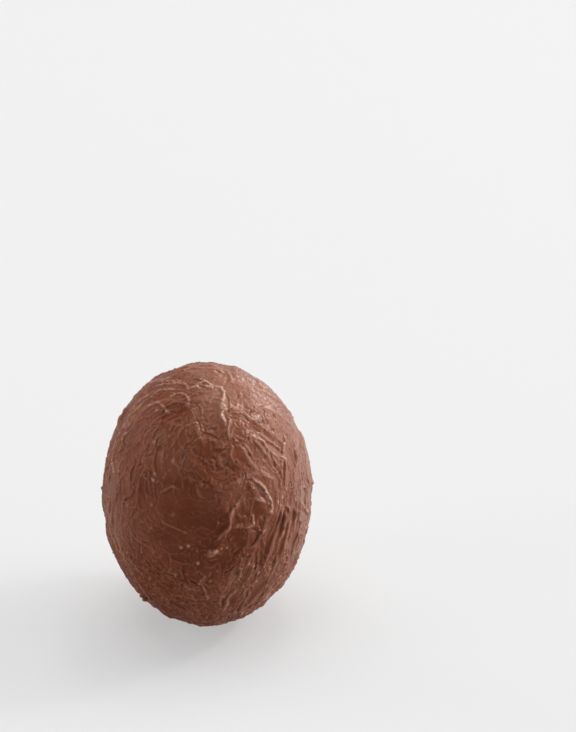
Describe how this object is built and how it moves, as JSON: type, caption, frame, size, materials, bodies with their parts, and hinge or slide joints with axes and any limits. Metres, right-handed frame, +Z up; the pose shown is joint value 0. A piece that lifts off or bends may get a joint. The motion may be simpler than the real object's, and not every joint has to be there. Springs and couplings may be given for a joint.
{
  "type": "hot chocolate sphere",
  "caption": "Ball of milk chocolate for melting in hot milk, drawn out upright into an egg-like ovoid, with a hand-smeared, ridged surface and a small flat spot to stand on.",
  "frame": {"origin": "on the plane that it stands on, under the middle of its box; +Z up", "axes": "+Z up along the long axis, -Y towards the front that was seen, +X to the right"},
  "size_m": [0.0582, 0.0584, 0.0773],
  "materials": {
    "chocolate": "satin milk chocolate, smeared by hand"
  },
  "bodies": {
    "root": {"chocolate": "chocolate"}
  },
  "joints": []
}
